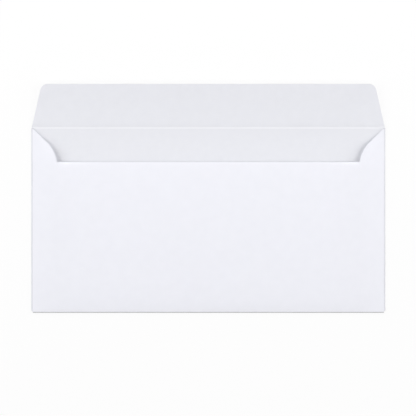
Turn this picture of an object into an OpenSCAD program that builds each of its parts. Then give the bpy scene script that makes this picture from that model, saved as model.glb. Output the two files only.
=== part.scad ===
// A paper envelope, opened and lying on its address panel. It is one die-cut sheet:
// two side flaps are folded in over the address panel, the back panel is folded up
// over them and glued to them, and the seal flap stays open above the throat.
// X runs along the width, Y from the bottom fold to the seal flap, and Z up.
// The origin is the middle of the address panel's outer face.

/* [Body] */
// Width of the body, over its two side folds
body_w = 230; // [150:1:330]
// Height of the body, from the bottom fold to the seal fold
body_h = 120; // [85:1:230]

/* [Paper] */
// Thickness of the sheet
paper_t = 0.11; // [0.06:0.01:0.2]
// Inner radius of the pressed side folds
fold_r = 0.15; // [0.05:0.05:0.4]

/* [Back panel] */
// Distance from the seal fold down to the back panel's straight top edge
throat_depth = 22.2; // [15:0.1:45]
// Distance that the back panel's side edges stay inside the side folds
seam_inset = 1; // [0.7:0.1:4]

/* [Side flaps] */
// Width of each side flap, from its fold to its straight inner edge
side_flap_w = 17.2; // [10:0.1:30]
// Angle between the seal fold and the straight start of each shoulder
shoulder_angle = 45; // [30:1:60]
// Radius that turns each shoulder into the side flap's inner edge
shoulder_r = 20; // [2:0.5:26]
// Width of the blunt tip that each shoulder keeps beside the side fold
shoulder_tip_w = 0.75; // [0.2:0.05:2]
// Distance that this tip stays below the seal fold
shoulder_gap = 0.2; // [0.1:0.1:2]
// Angle at which the lower end of each side flap is cut back
lower_end_angle = 20; // [0:1:30]
// Height of the notch that frees the side folds from the bottom fold
bottom_notch_h = 0.8; // [0.4:0.1:3]

/* [Seal flap] */
// Length of the seal flap along the paper, from its fold to its free edge
seal_flap_len = 28.4; // [15:0.1:60]
// Angle at which each side of the seal flap slopes inwards
seal_flap_taper = 13.8; // [0:0.1:30]
// Radius of the seal flap's two free corners
seal_flap_corner_r = 4.8; // [1:0.1:14]

/* [Shape at rest] */
// Height that the back panel springs up in the middle, over its pressed folds
mouth_h = 0.65; // [0.3:0.05:3]
// Distance from the bottom fold in which the back panel rounds over and levels out
bottom_crown_len = 5.5; // [3:0.5:20]
// Height that the side flaps' inner edges add at the mouth of the pocket
side_rise_h = 1.6; // [0.2:0.1:3]
// Distance from the side folds over which the pocket springs up
side_rise_len = 15; // [10:0.5:30]
// Height that the opened seal flap lifts the seal fold by
seal_fold_rise_h = 0.5; // [0:0.1:1.5]
// Distance from the seal fold over which the address panel comes down to the table
seal_fold_rise_len = 18; // [5:0.5:22]
// Angle at which the seal flap leaves its fold
seal_flap_lift = 5; // [0:0.5:20]
// Angle that the seal flap turns through between its fold and its free edge
seal_flap_curl = 3.5; // [0:0.5:20]

/* [Hidden] */
paper_colour = [0.95, 0.95, 0.965];

// How late the shoulders sink on their way to the seal fold, and how evenly the
// address panel comes down from it
sink_power = 2.5;
seal_fold_power = 3;

// Strips that each stretch of the sheet is divided into
corner_strips = 6;
flap_side_strips = 3;
fold_strips = 6;
lower_strips = 4;
pocket_strips = 15;
shoulder_strips = 10;
seam_columns = 4;
middle_columns = 11;
flap_strips = corner_strips + flap_side_strips;
half_columns = seam_columns + middle_columns;
all_columns = 2 * half_columns;
column_list = [0 : all_columns];

// Rows crowd towards the bottom fold by the first power, and the seal flap's rows
// stay level until near their ends by the second
crowding_power = 1.3;
level_power = 4;

// Heights along the pressed folds, from the table upwards: the side flap goes
// between the two panels, so the bottom fold is half a sheet wider than the side folds
side_bend_r = fold_r + paper_t;
bottom_bend_r = fold_r + 1.5 * paper_t;
under_side_flap_z = 2 * side_bend_r - paper_t;
seam_z = 2 * side_bend_r;
back_panel_z = 2 * bottom_bend_r;

// Plan of the body
side_edge = body_w / 2 - side_bend_r;
seam_edge = body_w / 2 - seam_inset;
seal_fold_y = body_h / 2;
throat_y = seal_fold_y - throat_depth;
bottom_y = bottom_bend_r - body_h / 2;
side_fold_start_y = bottom_y + bottom_notch_h;

// Plan of a shoulder: a straight start, then an arc into the side flap's inner edge
shoulder_tip = side_bend_r + shoulder_tip_w;
arc_start_in = side_flap_w - shoulder_r * (1 - sin(shoulder_angle));
arc_start_down = shoulder_gap + (arc_start_in - shoulder_tip) * tan(shoulder_angle);
arc_end_down = arc_start_down + shoulder_r * cos(shoulder_angle);
side_fold_end_y = seal_fold_y - shoulder_gap;

// Width of a side flap at a distance down from the seal fold
function flap_in(down) =
    down >= arc_end_down ? side_flap_w
    : down <= arc_start_down ? shoulder_tip + (down - shoulder_gap) / tan(shoulder_angle)
    : side_flap_w - shoulder_r + sqrt(pow(shoulder_r, 2) - pow(arc_end_down - down, 2));

// Height of the springing pocket above its pressed folds, at a place in plan: it opens
// like a wedge from the bottom fold, most at the inner edges of the side flaps
function spring(x, y) =
    let (
        from_side = max(0, side_edge - abs(x)) / side_rise_len,
        from_bottom = min(throat_y, y) - bottom_y,
        crown = (1 - exp(-from_side)) * (1 - exp(-from_bottom / bottom_crown_len)),
        up_share = from_bottom / (throat_y - bottom_y),
        side_rise = pow(from_side, 2) * exp(1 - pow(from_side, 2)) * up_share,
        sunk = pow(max(0, y - throat_y) / throat_depth, sink_power)
    )
    (mouth_h * crown + side_rise_h * side_rise) * (1 - sunk);
function lifted(plan, z) = [for (p = plan) [p[0], p[1], z + spring(p[0], p[1])]];

// Height of the whole sheet above the table, beside and beyond the seal fold
function seal_fold_rise(y) =
    seal_fold_rise_h * pow(min(1, max(0, 1 - (seal_fold_y - y) / seal_fold_rise_len)), seal_fold_power);

// Rows of the side flaps, from the bottom notch up to the tip of the shoulders
side_y = concat(
    [for (i = [0 : pocket_strips])
        side_fold_start_y + (throat_y - side_fold_start_y) * i / pocket_strips],
    [for (i = [1 : shoulder_strips])
        throat_y + (side_fold_end_y - throat_y) * i / shoulder_strips]
);
last_side = len(side_y) - 1;

// Columns of the back panel: the first few lie on the side flap, up to its inner edge
function left_x(column, width) =
    column <= seam_columns ? (width - seam_inset) * column / seam_columns - seam_edge
    : (width - body_w / 2) * (half_columns - column) / middle_columns;
function back_x(column, width) =
    column <= half_columns ? left_x(column, width) : -left_x(all_columns - column, width);
share_across = [for (c = column_list) back_x(c, side_flap_w) / seam_edge];

// Rows of the pocket follow the sloped lower ends of the side flaps, then level out
function end_slope(x) = tan(lower_end_angle) * min(side_flap_w - seam_inset, seam_edge - abs(x));
function slope_left(i) = max(0, 1 - 2 * i / pocket_strips);
function pocket_row(i) =
    let (width = flap_in(seal_fold_y - side_y[i]))
    [for (c = column_list) let (x = back_x(c, width)) [x, side_y[i] + end_slope(x) * slope_left(i)]];
function lower_row(i) =
    [for (p = pocket_row(0)) [p[0], bottom_y + (p[1] - bottom_y) * pow(i / lower_strips, crowding_power)]];

// One row across the sheet as [outer face, inner face], half a sheet each way from
// its middle: xs, ys and zs are lists, and the angle is the way that its outer face looks
function sheet_row(xs, ys, zs, angle) = [
    for (out = [paper_t / 2, -paper_t / 2])
        [for (c = column_list) [xs[c], ys[c] + out * cos(angle), zs[c] + out * sin(angle)]]
];
function straight_row(half_width, y, z, angle) =
    sheet_row(half_width * share_across, [for (c = column_list) y], [for (c = column_list) z], angle);

// Seal flap: half width and distance from the fold, at the end of each row
corner_x = side_edge - (seal_flap_len - seal_flap_corner_r) * tan(seal_flap_taper)
    - seal_flap_corner_r / cos(seal_flap_taper);
corner_start = seal_flap_len - seal_flap_corner_r * (1 - sin(seal_flap_taper));
function corner_end(angle) = [
    corner_x + seal_flap_corner_r * cos(angle),
    seal_flap_len - seal_flap_corner_r * (1 - sin(angle))
];
function side_end(along) = [side_edge - along * tan(seal_flap_taper), along];
function flap_end(i) =
    i <= corner_strips ? corner_end(90 - (90 - seal_flap_taper) * i / corner_strips)
    : side_end(corner_start * (flap_strips - i) / flap_side_strips);

// Seal flap: a row runs level across the middle and bends down to its two ends
function flap_row(i) =
    let (
        end = flap_end(i),
        middle = seal_flap_len * (flap_strips - i) / flap_strips,
        along = [for (s = share_across) middle + (end[1] - middle) * pow(s, level_power)],
        chord_angle = [for (a = along) seal_flap_lift + seal_flap_curl / 2 * a / seal_flap_len],
        ys = [for (c = column_list) seal_fold_y + along[c] * cos(chord_angle[c])],
        zs = [for (c = column_list) paper_t / 2 + along[c] * sin(chord_angle[c])]
    )
    sheet_row(end[0] * share_across, ys, zs, seal_flap_lift + seal_flap_curl * middle / seal_flap_len - 90);

// Bottom fold: half a turn from the address panel to the back panel
function bottom_fold_row(i) =
    let (angle = -90 - 180 * i / fold_strips, bend_r = bottom_bend_r - paper_t / 2)
    straight_row(seam_edge, bottom_y + bend_r * cos(angle), bottom_bend_r + bend_r * sin(angle), angle);

// The wrap: seal flap, address panel, bottom fold and back panel, in one run of rows
function back_row(plan) = [lifted(plan, back_panel_z), lifted(plan, seam_z)];
wrap = concat(
    [for (i = [0 : flap_strips - 1]) flap_row(i)],
    [straight_row(side_edge, seal_fold_y, paper_t / 2, seal_flap_lift / 2 - 90)],
    [for (i = [last_side : -1 : 0]) straight_row(side_edge, side_y[i], paper_t / 2, -90)],
    [straight_row(seam_edge, bottom_y, paper_t / 2, -90)],
    [for (i = [1 : fold_strips - 1]) bottom_fold_row(i)],
    [for (i = [0 : lower_strips - 1]) back_row(lower_row(i))],
    [for (i = [0 : pocket_strips]) back_row(pocket_row(i))]
);
last_row = len(wrap) - 1;
first_address_row = flap_strips + 1;
last_side_row = first_address_row + last_side;
first_seam_row = last_row - pocket_strips;

// A side flap, on the left: its fold, its underside and the top of its shoulder
function side_fold(r) = [
    for (y = side_y)
        for (i = [1 : fold_strips])
            let (turn = 180 * i / fold_strips)
                [-side_edge - r * sin(turn), y, side_bend_r - r * cos(turn)]
];
throat_in = flap_in(throat_depth);
function shoulder_share(column) =
    (left_x(column, throat_in) + side_edge) / (throat_in - side_bend_r);
function shoulder_row(i) =
    let (width = flap_in(seal_fold_y - side_y[i]) - side_bend_r)
    [for (c = [0 : seam_columns]) [width * shoulder_share(c) - side_edge, side_y[i]]];
function pocket_seam(i) = let (row = pocket_row(i)) [for (c = [0 : seam_columns]) row[c]];
side_flap_under = [
    for (i = [0 : last_side])
        each lifted(i <= pocket_strips ? pocket_seam(i) : shoulder_row(i), under_side_flap_z)
];
shoulder_top = [for (i = [pocket_strips + 1 : last_side]) each lifted(shoulder_row(i), seam_z)];
side_points = concat(side_fold(side_bend_r), side_fold(fold_r), side_flap_under, shoulder_top);

sheet_points = concat(
    [for (skin = [0, 1]) for (row = wrap) each row[skin]],
    side_points,
    [for (p = side_points) [-p[0], p[1], p[2]]]
);
points = [for (p = sheet_points) [p[0], p[1], p[2] + seal_fold_rise(p[1])]];

// Numbers of the points: side is 1 on the left and -1 on the right, where columns
// are counted from the other end, and a side flap's columns start at its fold
outer = 0;
inner = 1;
function of_wrap(side, skin, row, column) =
    (skin * len(wrap) + row) * (all_columns + 1) + (side > 0 ? column : all_columns - column);
function of_side(side, number) =
    2 * len(wrap) * (all_columns + 1) + (side > 0 ? 0 : len(side_points)) + number;
function of_fold(side, skin, i, column) =
    of_side(side, (skin * len(side_y) + i) * fold_strips + column - 1);
function of_under(side, i, column) =
    of_side(side, 2 * len(side_y) * fold_strips + i * (seam_columns + 1) + column);
function of_shoulder(side, i, column) =
    of_under(side, len(side_y) + i - pocket_strips - 1, column);
last_column = fold_strips + 1 + seam_columns;
function flap_top(side, i, column) =
    column == 0 ? of_wrap(side, outer, last_side_row - i, 0)
    : column <= fold_strips ? of_fold(side, outer, i, column)
    : i <= pocket_strips ? of_wrap(side, inner, first_seam_row + i, column - fold_strips - 1)
    : of_shoulder(side, i, column - fold_strips - 1);
function flap_under(side, i, column) =
    column == 0 ? of_wrap(side, inner, last_side_row - i, 0)
    : column <= fold_strips ? of_fold(side, inner, i, column)
    : of_under(side, i, column - fold_strips - 1);

// Two triangles for four corners, which run the other way round on the right
function cell(side, a, b, c, d) = side > 0 ? [[a, b, c], [a, c, d]] : [[c, b, a], [d, c, a]];

// Both faces of the wrap: the inner one stops where the back panel is glued down
function wrap_faces(side) = [
    for (r = [0 : last_row - 1])
        for (c = [0 : half_columns - 1])
            each concat(
                cell(side, of_wrap(side, outer, r, c), of_wrap(side, outer, r + 1, c),
                    of_wrap(side, outer, r + 1, c + 1), of_wrap(side, outer, r, c + 1)),
                r >= first_seam_row && c < seam_columns ? []
                    : cell(side, of_wrap(side, inner, r, c), of_wrap(side, inner, r, c + 1),
                        of_wrap(side, inner, r + 1, c + 1), of_wrap(side, inner, r + 1, c))
            )
];

// Cut edges of the wrap: the seal flap's free edge, the throat, and both sides
function wrap_edges(side) = concat(
    [for (c = [0 : half_columns - 1])
        each concat(
            cell(side, of_wrap(side, outer, 0, c), of_wrap(side, outer, 0, c + 1),
                of_wrap(side, inner, 0, c + 1), of_wrap(side, inner, 0, c)),
            cell(side, of_wrap(side, outer, last_row, c + 1), of_wrap(side, outer, last_row, c),
                of_wrap(side, inner, last_row, c), of_wrap(side, inner, last_row, c + 1))
        )],
    [for (r = [0 : last_row - 1])
        if (r < first_address_row || r >= last_side_row)
            each cell(side, of_wrap(side, outer, r + 1, 0), of_wrap(side, outer, r, 0),
                of_wrap(side, inner, r, 0), of_wrap(side, inner, r + 1, 0))]
);

// Both faces of a side flap: in the pocket, its upper one ends at the back panel's edge
function side_flap_faces(side) = [
    for (i = [0 : last_side - 1])
        for (c = [0 : last_column - 1])
            each concat(
                i < pocket_strips && c > fold_strips ? []
                    : cell(side, flap_top(side, i, c), flap_top(side, i + 1, c),
                        flap_top(side, i + 1, c + 1), flap_top(side, i, c + 1)),
                cell(side, flap_under(side, i, c), flap_under(side, i, c + 1),
                    flap_under(side, i + 1, c + 1), flap_under(side, i + 1, c))
            )
];

// Cut edges of a side flap: its lower end, its upper end and its inner edge
function side_flap_edges(side) = concat(
    [for (c = [0 : last_column - 1])
        each concat(
            cell(side, flap_top(side, 0, c), flap_top(side, 0, c + 1),
                flap_under(side, 0, c + 1), flap_under(side, 0, c)),
            cell(side, flap_top(side, last_side, c + 1), flap_top(side, last_side, c),
                flap_under(side, last_side, c), flap_under(side, last_side, c + 1))
        )],
    [for (i = [0 : last_side - 1])
        each cell(side, flap_top(side, i, last_column), flap_top(side, i + 1, last_column),
            flap_under(side, i + 1, last_column), flap_under(side, i, last_column))]
);

faces = [
    for (side = [1, -1])
        each concat(wrap_faces(side), wrap_edges(side), side_flap_faces(side), side_flap_edges(side))
];

module envelope() {
    color(paper_colour) polyhedron(points, faces, convexity = 8);
}

envelope();
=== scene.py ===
from math import cos, exp, pi, radians, sin, tan

import bmesh
import bpy
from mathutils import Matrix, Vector, noise


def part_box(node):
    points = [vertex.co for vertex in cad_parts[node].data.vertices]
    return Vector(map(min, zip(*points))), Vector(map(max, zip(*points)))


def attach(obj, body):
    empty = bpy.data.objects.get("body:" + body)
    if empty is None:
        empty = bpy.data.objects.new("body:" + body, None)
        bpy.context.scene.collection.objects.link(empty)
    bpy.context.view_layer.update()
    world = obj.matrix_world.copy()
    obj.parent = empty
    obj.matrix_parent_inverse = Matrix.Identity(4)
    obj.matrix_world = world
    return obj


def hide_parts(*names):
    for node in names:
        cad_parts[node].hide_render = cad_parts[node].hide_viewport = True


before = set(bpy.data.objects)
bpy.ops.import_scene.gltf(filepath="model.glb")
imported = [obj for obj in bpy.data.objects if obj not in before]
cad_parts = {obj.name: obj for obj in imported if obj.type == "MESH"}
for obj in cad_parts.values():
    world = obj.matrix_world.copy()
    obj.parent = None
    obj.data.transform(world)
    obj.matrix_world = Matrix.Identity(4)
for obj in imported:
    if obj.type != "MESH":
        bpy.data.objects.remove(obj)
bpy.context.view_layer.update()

bpy.context.scene.view_settings.view_transform = "Standard"

# The blank
# One flat sheet of white paper, die-cut to the outline of the whole envelope: seal flap,
# address panel and back panel in a row, with a side flap on each side of the address
# panel. It is laid out with its inner face up and its seal fold and side folds in place.
mm = 0.001
near = 0.0001 * mm
low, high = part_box("envelope")
paper_t = 0.11 * mm
side_bend_r = 0.205 * mm          # middle of the sheet in a side fold
outer_bend_r = side_bend_r + paper_t / 2
glue_t = 0.01 * mm
bottom_bend_r = side_bend_r + (paper_t + glue_t) / 2
side_line = high.x - outer_bend_r
seal_line = -low.y
bottom_line = low.y + bottom_bend_r + paper_t / 2
throat_depth = 22.2 * mm
throat_line = seal_line - throat_depth
seam_inset = 1 * mm
seam_line = high.x - seam_inset
notch_h = 0.8 * mm
notch_line = bottom_line + notch_h
seal_flap_len = 28.4 * mm
seal_flap_taper = radians(13.8)
seal_corner_r = 4.8 * mm
seal_corner_segments = 12
side_flap_w = 17.2 * mm
shoulder_tip_w = 0.75 * mm
shoulder_gap = 0.2 * mm
shoulder_angle = radians(45)
shoulder_r = 20 * mm
shoulder_segments = 16
lower_end_angle = radians(20)
tip_line = seal_line - shoulder_gap

# A pressed fold is a half turn, bent at close lines that lie one strip apart
bends = 9
bend_angle = pi / bends


def strip_in(bend_r):
    """Width of one strip of a fold whose middle has this radius."""
    return 2 * bend_r * tan(bend_angle / 2)


def bend_lines(start, bend_r):
    """Distances of the bend lines of a half turn that starts at a distance."""
    return [start + (step + 0.5) * strip_in(bend_r) for step in range(bends)]


side_fold_end = side_line + bends * strip_in(side_bend_r)
side_flap_end = side_fold_end + side_flap_w - outer_bend_r
bottom_fold_end = -bottom_line + bends * strip_in(bottom_bend_r)
back_panel_end = bottom_fold_end + throat_line - bottom_line


def select_points(wanted):
    """Selects the points of the open sheet that a test of their place accepts."""
    mesh = bmesh.from_edit_mesh(sheet.data)
    for point in mesh.verts:
        point.select_set(wanted(point.co))
    mesh.select_flush_mode()
    bmesh.update_edit_mesh(sheet.data)


def pull_out(by):
    """Extrudes the selected edge by a vector, and leaves the new edge selected."""
    bpy.ops.mesh.extrude_region_move(TRANSFORM_OT_translate={"value": by})


def narrow_to(half_width, old_half_width):
    """Brings the ends of the selected edge in, towards the middle of the sheet."""
    bpy.ops.transform.resize(value=(half_width / old_half_width, 1, 1), center_override=(0, 0, 0))


def round_corners(radius, turned, segments):
    """Rounds the selected corners, where the outline turns by this angle."""
    bpy.ops.mesh.bevel(offset=radius * tan(turned / 2), segments=segments, affect="VERTICES")


bpy.ops.object.select_all(action="DESELECT")
bpy.ops.mesh.primitive_plane_add(size=1, location=(0, 0, 0))
sheet = bpy.context.object
sheet.name = sheet.data.name = "folded_sheet"
bpy.ops.object.mode_set(mode="EDIT")
bpy.ops.transform.resize(
    value=(2 * side_line, tip_line - notch_line, 1), center_override=(0, 0, 0)
)
bpy.ops.transform.translate(value=(0, (tip_line + notch_line) / 2, 0))

select_points(lambda place: place.y > tip_line - near)
pull_out((0, seal_line - tip_line, 0))
pull_out((0, seal_flap_len, 0))
narrow_to(side_line - seal_flap_len * tan(seal_flap_taper), side_line)
round_corners(seal_corner_r, pi / 2 - seal_flap_taper, seal_corner_segments)

select_points(lambda place: place.y < notch_line + near)
pull_out((0, bottom_line - notch_line, 0))
narrow_to(seam_line, side_line)
pull_out((0, -bottom_line - bottom_fold_end, 0))
pull_out((0, bottom_fold_end - back_panel_end, 0))

sloped_w = side_flap_end - side_fold_end - shoulder_tip_w
for side in (-1, 1):
    select_points(
        lambda place: abs(place.x - side * side_line) < near
        and notch_line - near < place.y < tip_line + near
    )
    pull_out((side * (side_fold_end - side_line), 0, 0))
    pull_out((side * shoulder_tip_w, 0, 0))
    pull_out((side * sloped_w, 0, 0))
    select_points(lambda place: side * place.x > side_flap_end - near and place.y < 0)
    bpy.ops.transform.translate(value=(0, sloped_w * tan(lower_end_angle), 0))
    select_points(lambda place: side * place.x > side_flap_end - near and place.y > 0)
    bpy.ops.transform.translate(value=(0, -sloped_w * tan(shoulder_angle), 0))
    round_corners(shoulder_r, pi / 2 - shoulder_angle, shoulder_segments)

# Straight lines are cut through the sheet, so that it can bend: about one cell apart in
# the panels, and closer at the folds, at the crease and along the throat's edge
cell = 1.5 * mm
crease_steps = [0.15 * mm, 0.35 * mm, 0.6 * mm, 0.9 * mm, 1.4 * mm, 2.2 * mm]
edge_steps = [0.15 * mm, 0.35 * mm, 0.6 * mm, 1 * mm, 1.6 * mm]


def spread(start, end):
    """Evenly spaced places from start to end, with the ends."""
    count = round(abs(end - start) / cell)
    return [start + (end - start) * step / count for step in range(count + 1)]


def cut_lines(axis, places):
    """Cuts the whole sheet along lines at these places, square to an axis."""
    normal = Vector((axis == "X", axis == "Y", 0))
    for place in places:
        bpy.ops.mesh.select_all(action="SELECT")
        bpy.ops.mesh.bisect(plane_co=normal * place, plane_no=normal, threshold=near)


side_flap_line = high.x - side_flap_w
side_shade_w = 0.4 * mm             # the painted shade goes on for this width beside a side fold
bottom_shadow_fade_w = side_shade_w / 4    # and the painted contact shadow fades out in this width beside the bottom fold
side_bends = bend_lines(side_line, side_bend_r)
bottom_bends = bend_lines(-bottom_line, bottom_bend_r)
seal_flap_rows = spread(seal_line + crease_steps[-1], seal_line + seal_flap_len)
across = (
    spread(0, side_flap_line)
    + spread(side_flap_line, seam_line)[1:]
    + side_bends
    + [side_fold_end, side_fold_end + side_shade_w, side_fold_end + 2 * side_shade_w]
    + spread(side_fold_end, side_flap_end)[1:-1]
)
cut_lines("X", [side * place for side in (-1, 1) for place in across])
cut_lines("Y", [seal_line + side * step for side in (-1, 1) for step in crease_steps])
cut_lines("Y", seal_flap_rows[:-1])
cut_lines("Y", spread(throat_line, seal_line - crease_steps[-1]))
cut_lines("Y", spread(notch_line, throat_line)[1:])
cut_lines("Y", [-line for line in bottom_bends])
cut_lines("Y", [-row for row in spread(bottom_fold_end, back_panel_end - edge_steps[-1])])
cut_lines("Y", [-bottom_fold_end - bottom_shadow_fade_w])
cut_lines("Y", [step - back_panel_end for step in edge_steps])

# Folding
# The side flaps are folded in over the address panel, the back panel is folded up over
# them and glued down on them, and the seal flap, once creased, is laid open again.
seal_flap_lift = radians(5)
seal_flap_curl = radians(3.5)


def turn(axis, angle, centre):
    """Turns the selected points. With no window the operator turns the other way."""
    bpy.ops.transform.rotate(value=-angle, orient_axis=axis, center_override=centre)


def fold(axis, side, lines, angle):
    """Bends the sheet about each of the lines, which lie at distances in the flat sheet."""
    across_fold = 0 if axis == "Y" else 1
    for line in lines:
        mesh = bmesh.from_edit_mesh(sheet.data)
        mesh.verts.ensure_lookup_table()
        beyond = [side * place[across_fold] - line for place in flat]
        for point, distance in zip(mesh.verts, beyond):
            point.select_set(distance > near)
        centre = next(
            point.co.copy() for point, distance in zip(mesh.verts, beyond) if abs(distance) < near
        )
        mesh.select_flush_mode()
        bmesh.update_edit_mesh(sheet.data)
        turn(axis, angle, centre)


flat = [point.co.copy() for point in bmesh.from_edit_mesh(sheet.data).verts]
for side in (-1, 1):
    fold("Y", side, side_bends, -side * bend_angle)
fold("X", -1, bottom_bends, -bend_angle)
fold("X", 1, [seal_line], seal_flap_lift)
fold("X", 1, seal_flap_rows[:-1], seal_flap_curl / len(seal_flap_rows[:-1]))
bpy.ops.mesh.select_all(action="DESELECT")
bpy.ops.object.mode_set(mode="OBJECT")

# Springing open
# The empty pocket springs up from its folds, most at the mouth, over the inner edges of
# the side flaps. The opened seal flap pulls its own fold up a little. The sheet is never
# quite flat, and the free edge of the throat bends down, most near its two ends.
mouth_h = 0.65 * mm
bottom_crown_len = 5.5 * mm
side_rise_h = 1.6 * mm
side_rise_len = 15 * mm
seal_fold_rise_h = 0.5 * mm
seal_fold_rise_len = 18 * mm
sink_power = 2.5
seal_fold_power = 3
cockle_h = 0.045 * mm
cockle_len = 24 * mm
ripple_h = 0.012 * mm
ripple_len = 7 * mm
ripple_shift = 7                   # so that the ripples don't follow the swell
settled_len = 6 * mm
crease_step_h = 0.17 * mm
crease_step_len = 1.4 * mm
crease_fade_len = 6 * mm
# Width of the paler crease line, partly crushed fibres and partly a painted highlight
crease_highlight_len = 0.5 * mm
edge_drop = 0.17 * mm
edge_drop_share = 0.6
edge_drop_len = 1.4 * mm
edge_free_len = 2 * mm
seam_mark_h = 0.02 * mm
seam_mark_len = 1.6 * mm
back_part, flap_part, address_part = 1, 2, 3
# Weights of the painted fold colour: painted shade along the side folds, a painted contact shadow
# on the bottom fold
side_fold_shade = 0.22
bottom_fold_shadow = 1


def spring(x, y):
    """Height of the sprung pocket above its pressed folds, at a place in plan."""
    from_side = max(0, side_line - abs(x)) / side_rise_len
    from_bottom = min(throat_line, y) - bottom_line
    crown = (1 - exp(-from_side)) * (1 - exp(-from_bottom / bottom_crown_len))
    side_rise = from_side ** 2 * exp(1 - from_side ** 2)
    side_rise *= from_bottom / (throat_line - bottom_line)
    sunk = (max(0, y - throat_line) / throat_depth) ** sink_power
    return (mouth_h * crown + side_rise_h * side_rise) * (1 - sunk)


def seal_fold_rise(y):
    """Height that the opened seal flap pulls the sheet up by, most at its fold."""
    nearness = min(1, max(0, 1 - (seal_line - y) / seal_fold_rise_len))
    return seal_fold_rise_h * nearness ** seal_fold_power


def cockle(x, y, sheet_part):
    """Small swell of the sheet, that differs from one part of the envelope to another."""
    place = Vector((x, y, sheet_part))
    return (
        cockle_h * noise.noise(place / cockle_len + Vector((0, 0, sheet_part)))
        + ripple_h * noise.noise(place / ripple_len + Vector((0, 0, ripple_shift + sheet_part)))
    )


def settled(distance):
    """Share of the swell that is left at a distance from a fold or a glued edge."""
    return 1 - exp(-max(0, distance) / settled_len)


def crease_step(distance):
    """Height by which the seal flap starts off steeper, at a distance from its crease."""
    step = 1 - exp(-((distance / crease_step_len) ** 2))
    return crease_step_h * step * exp(-distance / crease_fade_len)


fold_shade_and_highlight_weights = sheet.data.attributes.new("fold_shade_and_highlight", "FLOAT", "POINT")
for point, place, painted_weight in zip(sheet.data.vertices, flat, fold_shade_and_highlight_weights.data):
    x, y = point.co.x, point.co.y
    in_side_flap = abs(place.x) > side_fold_end - near
    in_back_panel = -place.y > bottom_fold_end - near
    if in_side_flap or in_back_panel:
        from_fold = min(side_line - abs(x), y - bottom_line)
        point.co.z += spring(x, y) + settled(from_fold) * cockle(x, y, back_part)
        seam_mark = exp(-((abs(x) - side_flap_line) / seam_mark_len) ** 2)
        point.co.z += seam_mark_h * seam_mark * settled(y - bottom_line)
    if in_back_panel and abs(x) < side_flap_line:
        from_edge = place.y + back_panel_end
        unglued = 1 - exp((abs(x) - side_flap_line) / edge_free_len)
        drop = edge_drop + edge_drop_share * (spring(x, y) - mouth_h)
        point.co.z -= drop * unglued * exp(-from_edge / edge_drop_len)
    if place.y > seal_line + near:
        from_crease = place.y - seal_line
        point.co.z += crease_step(from_crease) + settled(from_crease) * cockle(x, y, flap_part)
    elif abs(place.x) < side_line - near and place.y > bottom_line:
        from_crease = seal_line - place.y
        rest = min(from_crease, side_line - abs(x), y - bottom_line)
        point.co.z += settled(rest) * (cockle_h + cockle(x, y, address_part)) / 2
    point.co.z += paper_t / 2 + seal_fold_rise(y)
    # The weights below lay the third paper colour on: painted shade along and beside the side
    # folds, a painted contact shadow on the bottom fold, and a paler inner tone at the seal
    # crease
    on_side_fold = side_line - near < abs(place.x) < side_fold_end + side_shade_w + near
    on_bottom_fold = -bottom_line - near < -place.y < bottom_fold_end + near
    if on_side_fold:
        painted_weight.value = side_fold_shade
    elif on_bottom_fold:
        painted_weight.value = bottom_fold_shadow
    # Near the seal crease the weight makes the inner face paler: partly crushed fibres, partly a
    # painted highlight
    elif place.y > 0:
        painted_weight.value = exp(-((place.y - seal_line) / crease_highlight_len) ** 2)

# Paper surface
# White wove paper shows faint clouds where its fibres lie thicker, and a fine fibre
# grain. Its outer face is a little whiter than its inner face. Along and beside the
# pressed folds the outer face is darkened with painted shade, a painted contact shadow at
# the bottom fold, and the crease of the seal fold is paler inside: partly crushed fibres,
# partly a painted highlight.
cloud_detail = 4
fibre_detail = 3
noise_roughness = 0.6
thin_cloud, thick_cloud = 0.3, 0.7
fibre_depth = 0.02 * mm
paper_specular = 0.15


def new_node(tree, kind, **settings):
    """Adds a node to a tree and sets the given properties on it."""
    node = tree.nodes.new(kind)
    for name, value in settings.items():
        setattr(node, name, value)
    return node


wove = bpy.data.node_groups.new("wove_paper", "ShaderNodeTree")
for name, kind in (("Cloud Size", "NodeSocketFloat"), ("Fibre Size", "NodeSocketFloat")):
    wove.interface.new_socket(name=name, in_out="INPUT", socket_type=kind)
for name in ("Cloud", "Fibre"):
    wove.interface.new_socket(name=name, in_out="OUTPUT", socket_type="NodeSocketFloat")
group_in = new_node(wove, "NodeGroupInput")
group_out = new_node(wove, "NodeGroupOutput")
place_in_sheet = new_node(wove, "ShaderNodeTexCoord")
for size_name, result_name, detail in (
    ("Cloud Size", "Cloud", cloud_detail),
    ("Fibre Size", "Fibre", fibre_detail),
):
    per_size = new_node(wove, "ShaderNodeMath", operation="DIVIDE")
    per_size.inputs[0].default_value = 1
    wove.links.new(group_in.outputs[size_name], per_size.inputs[1])
    clouds = new_node(wove, "ShaderNodeTexNoise", noise_dimensions="3D")
    clouds.inputs["Detail"].default_value = detail
    clouds.inputs["Roughness"].default_value = noise_roughness
    wove.links.new(place_in_sheet.outputs["Object"], clouds.inputs["Vector"])
    wove.links.new(per_size.outputs[0], clouds.inputs["Scale"])
    wove.links.new(clouds.outputs["Fac"], group_out.inputs[result_name])


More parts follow.
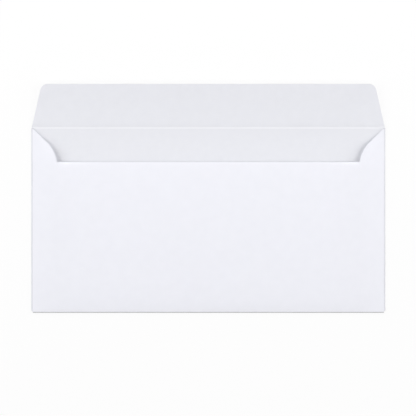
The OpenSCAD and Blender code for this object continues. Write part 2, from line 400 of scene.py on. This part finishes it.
def paper_material(name, colours, roughness, cloud_size, fibre_size, fibre_relief):
    """A face of the paper, with its colours where it is thin and thick, and a fold colour that
    paints shade and highlight at the folds.
    """
    thin_colour, thick_colour, fold_shade_highlight_colour = colours
    material = bpy.data.materials.new(name)
    material.use_nodes = True
    tree = material.node_tree
    shader = tree.nodes["Principled BSDF"]
    shader.inputs["Roughness"].default_value = roughness
    shader.inputs["Specular IOR Level"].default_value = paper_specular
    surface = new_node(tree, "ShaderNodeGroup", node_tree=wove)
    surface.inputs["Cloud Size"].default_value = cloud_size
    surface.inputs["Fibre Size"].default_value = fibre_size
    spread_of_clouds = new_node(tree, "ShaderNodeMapRange")
    spread_of_clouds.inputs["From Min"].default_value = thin_cloud
    spread_of_clouds.inputs["From Max"].default_value = thick_cloud
    colour = new_node(tree, "ShaderNodeMix", data_type="RGBA")
    colour.inputs["A"].default_value = (*thin_colour, 1)
    colour.inputs["B"].default_value = (*thick_colour, 1)
    grain = new_node(tree, "ShaderNodeBump")
    grain.inputs["Strength"].default_value = fibre_relief
    grain.inputs["Distance"].default_value = fibre_depth
    fold_shade_and_highlight = new_node(tree, "ShaderNodeAttribute", attribute_name="fold_shade_and_highlight")
    fold_shade_highlight_mix = new_node(tree, "ShaderNodeMix", data_type="RGBA")
    fold_shade_highlight_mix.inputs["B"].default_value = (*fold_shade_highlight_colour, 1)
    tree.links.new(surface.outputs["Cloud"], spread_of_clouds.inputs["Value"])
    tree.links.new(spread_of_clouds.outputs["Result"], colour.inputs["Factor"])
    tree.links.new(fold_shade_and_highlight.outputs["Fac"], fold_shade_highlight_mix.inputs["Factor"])
    tree.links.new(colour.outputs["Result"], fold_shade_highlight_mix.inputs["A"])
    tree.links.new(fold_shade_highlight_mix.outputs["Result"], shader.inputs["Base Color"])
    tree.links.new(surface.outputs["Fibre"], grain.inputs["Height"])
    tree.links.new(grain.outputs["Normal"], shader.inputs["Normal"])
    return material


# The third colour of each face is painted at the folds: outside a dark grey, painted shade along
# the side folds and a painted contact shadow on the bottom fold; inside a paler crease, partly
# crushed fibres and partly a painted highlight
inner_colours = (0.829, 0.836, 0.882), (0.845, 0.852, 0.898), (0.93, 0.937, 0.977)
outer_colours = (0.905, 0.91, 0.969), (0.92, 0.925, 0.984), (0.26, 0.26, 0.27)
inner_paper = paper_material(
    "paper_inner_face", inner_colours,
    roughness=0.85, cloud_size=5 * mm, fibre_size=0.25 * mm, fibre_relief=0.5,
)
outer_paper = paper_material(
    "paper_outer_face", outer_colours,
    roughness=0.8, cloud_size=6 * mm, fibre_size=0.3 * mm, fibre_relief=0.3,
)

# Thickness
# The sheet gets its thickness last, half to each side of its middle. Its first face is
# the inner one, and the new face and the cut edges are of the outer paper.
smooth_angle = radians(35)
sheet.data.materials.append(inner_paper)
sheet.data.materials.append(outer_paper)
bpy.ops.object.modifier_add(type="SOLIDIFY")
thickness = sheet.modifiers[-1]
thickness.thickness = paper_t
thickness.offset = 0
thickness.use_even_offset = True
thickness.use_quality_normals = True
thickness.material_offset = 1
thickness.material_offset_rim = 1
bpy.ops.object.modifier_apply(modifier=thickness.name)
bpy.ops.object.shade_smooth_by_angle(angle=smooth_angle)
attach(sheet, "root")
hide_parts("envelope")

# Table
# A plain pale table top under the envelope. For the camera it is nearly white, and it
# keeps the envelope's soft shadow. The same white stands behind it, above the horizon.
table_size = 12
table_gap = 0.02 * mm
table_colour = (0.96, 0.96, 0.96, 1)
table_roughness = 0.9
camera_white_share = 0.86
bpy.ops.object.select_all(action="DESELECT")
bpy.ops.mesh.primitive_plane_add(size=table_size, location=(0, 0, -table_gap))
table = bpy.context.object
table.name = "table_top"
table_white = bpy.data.materials.new("table_white")
table_white.use_nodes = True
tree = table_white.node_tree
table_shader = tree.nodes["Principled BSDF"]
table_shader.inputs["Base Color"].default_value = table_colour
table_shader.inputs["Roughness"].default_value = table_roughness
table_shader.inputs["Specular IOR Level"].default_value = 0


def seen_directly(tree):
    """A value that is 1 for what the camera sees, also in a reflection or through glass."""
    path = new_node(tree, "ShaderNodeLightPath")
    first_two = new_node(tree, "ShaderNodeMath", operation="MAXIMUM")
    all_three = new_node(tree, "ShaderNodeMath", operation="MAXIMUM")
    tree.links.new(path.outputs["Is Camera Ray"], first_two.inputs[0])
    tree.links.new(path.outputs["Is Glossy Ray"], first_two.inputs[1])
    tree.links.new(first_two.outputs[0], all_three.inputs[0])
    tree.links.new(path.outputs["Is Transmission Ray"], all_three.inputs[1])
    return all_three.outputs[0]


white_share = new_node(tree, "ShaderNodeMath", operation="MULTIPLY")
white_share.inputs[1].default_value = camera_white_share
plain_white = new_node(tree, "ShaderNodeEmission")
plain_white.inputs["Strength"].default_value = 1
both = new_node(tree, "ShaderNodeMixShader")
tree.links.new(seen_directly(tree), white_share.inputs[0])
tree.links.new(white_share.outputs[0], both.inputs["Fac"])
tree.links.new(table_shader.outputs["BSDF"], both.inputs[1])
tree.links.new(plain_white.outputs["Emission"], both.inputs[2])
tree.links.new(both.outputs["Shader"], tree.nodes["Material Output"].inputs["Surface"])
table.data.materials.append(table_white)

# Light
# A large soft lamp stands on each side of the envelope, a little towards its bottom fold,
# and a lower one beyond its seal flap. A pale dome fills in from all round. A lamp's values
# are its turn from the seal flap's side, height angle, distance, size and level.
dome_level = 0.082
lamps = {
    "left_lamp": (radians(-98), radians(31), 1.2, 1.0, 0.384),
    "right_lamp": (radians(98), radians(31), 1.2, 1.0, 0.384),
    "far_lamp": (0, radians(25), 0.85, 0.4, 0.27),
}

world = bpy.data.worlds.new("pale_dome")
bpy.context.scene.world = world
world.use_nodes = True
dome_tree = world.node_tree
dome = dome_tree.nodes["Background"]
dome.inputs["Color"].default_value = (1, 1, 1, 1)
dome_strength = new_node(dome_tree, "ShaderNodeMapRange")
dome_strength.inputs["To Min"].default_value = dome_level
dome_strength.inputs["To Max"].default_value = 1
dome_tree.links.new(seen_directly(dome_tree), dome_strength.inputs["Value"])
dome_tree.links.new(dome_strength.outputs["Result"], dome.inputs["Strength"])

for name, (turn_from_flap, height_angle, distance, size, level) in lamps.items():
    level_part = cos(height_angle)
    towards = Vector((
        sin(turn_from_flap) * level_part,
        cos(turn_from_flap) * level_part,
        sin(height_angle),
    ))
    bpy.ops.object.light_add(type="AREA", location=towards * distance)
    lamp = bpy.context.object
    lamp.name = name
    lamp.rotation_euler = towards.to_track_quat("Z", "Y").to_euler()
    lamp.data.shape = "SQUARE"
    lamp.data.size = size
    lamp.data.energy = level * (pi * distance) ** 2 / sin(height_angle)

# Camera
# It looks straight down on the back of the envelope, with a long lens.
camera_place = (-0.2 * mm, 7.93 * mm, 751.1 * mm)
camera_lens = 100
bpy.ops.object.camera_add(location=camera_place, rotation=(0, 0, 0))
camera = bpy.context.object
camera.name = "camera"
camera.data.lens = camera_lens
bpy.context.scene.camera = camera
